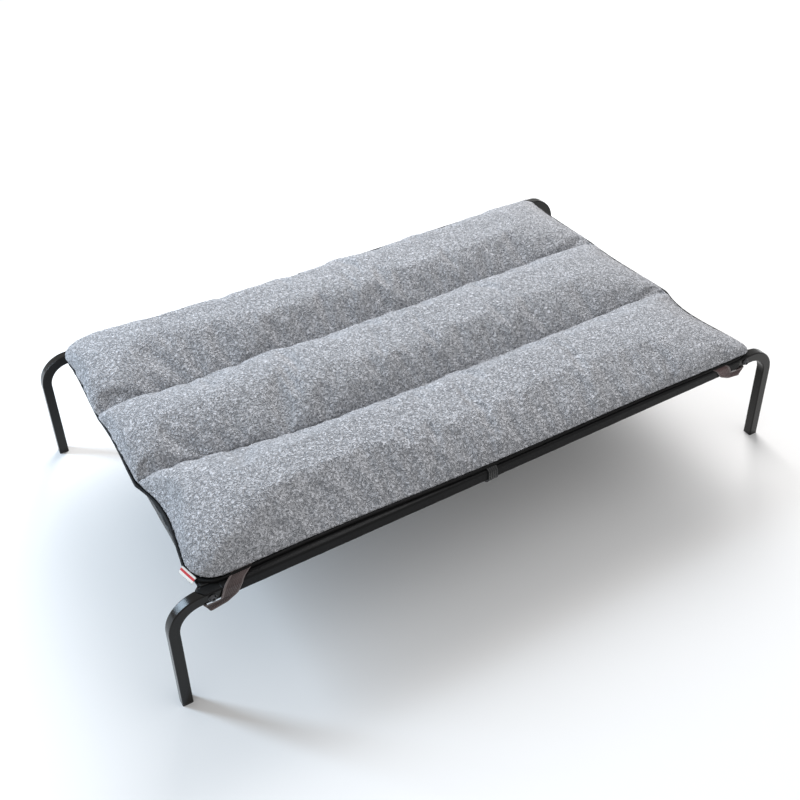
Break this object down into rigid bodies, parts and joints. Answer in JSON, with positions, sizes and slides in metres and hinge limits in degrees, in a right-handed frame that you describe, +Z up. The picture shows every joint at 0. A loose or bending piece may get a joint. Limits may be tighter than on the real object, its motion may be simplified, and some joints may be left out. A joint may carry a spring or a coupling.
{
  "type": "raised dog bed",
  "caption": "Raised dog bed: bent square-tube steel frame with four splayed legs, a stretched black cloth deck and a strapped-on quilted fleece pad.",
  "frame": {"origin": "centre of the footprint, on the floor", "axes": "+X along the bed to the right, +Y from the front side rail to the rear one, +Z up"},
  "size_m": [1.118, 0.6566, 0.2632],
  "materials": {
    "frame_coat": "satin black powder coat",
    "joiner_steel": "bare rolled steel",
    "foot_plastic": "matt",
    "zinc": "black zinc plate",
    "deck_cloth": "coated woven cloth",
    "base_cloth": "woven cloth",
    "fleece": "curly fleece pile",
    "filling": "polyester fibre",
    "piping": "woven",
    "strap_web": "ribbed elastic webbing",
    "tie_web": "woven webbing",
    "tag": "woven tag with a plain red band"
  },
  "bodies": {
    "root": {"front_left_rail": "frame_coat", "front_right_rail": "frame_coat", "rear_left_rail": "frame_coat", "rear_right_rail": "frame_coat", "front_rail_joiner": "joiner_steel", "rear_rail_joiner": "joiner_steel", "left_cross_rail": "frame_coat", "right_cross_rail": "frame_coat", "front_left_foot_plug": "foot_plastic", "front_right_foot_plug": "foot_plastic", "rear_left_foot_plug": "foot_plastic", "rear_right_foot_plug": "foot_plastic", "rail_inserts": "zinc", "corner_bolts": "zinc", "bolt_washers": "zinc", "deck_panel": "deck_cloth", "front_deck_sleeve": "deck_cloth", "rear_deck_sleeve": "deck_cloth", "left_deck_sleeve": "deck_cloth", "right_deck_sleeve": "deck_cloth", "pad_base": "base_cloth", "pad_fleece": "fleece", "front_filling": "filling", "middle_filling": "filling", "rear_filling": "filling", "pad_piping": "piping", "front_left_strap": "strap_web", "front_right_strap": "strap_web", "rear_left_strap": "strap_web", "rear_right_strap": "strap_web", "front_middle_tie": "tie_web", "rear_middle_tie": "tie_web", "side_tag": "tag"}
  },
  "joints": []
}
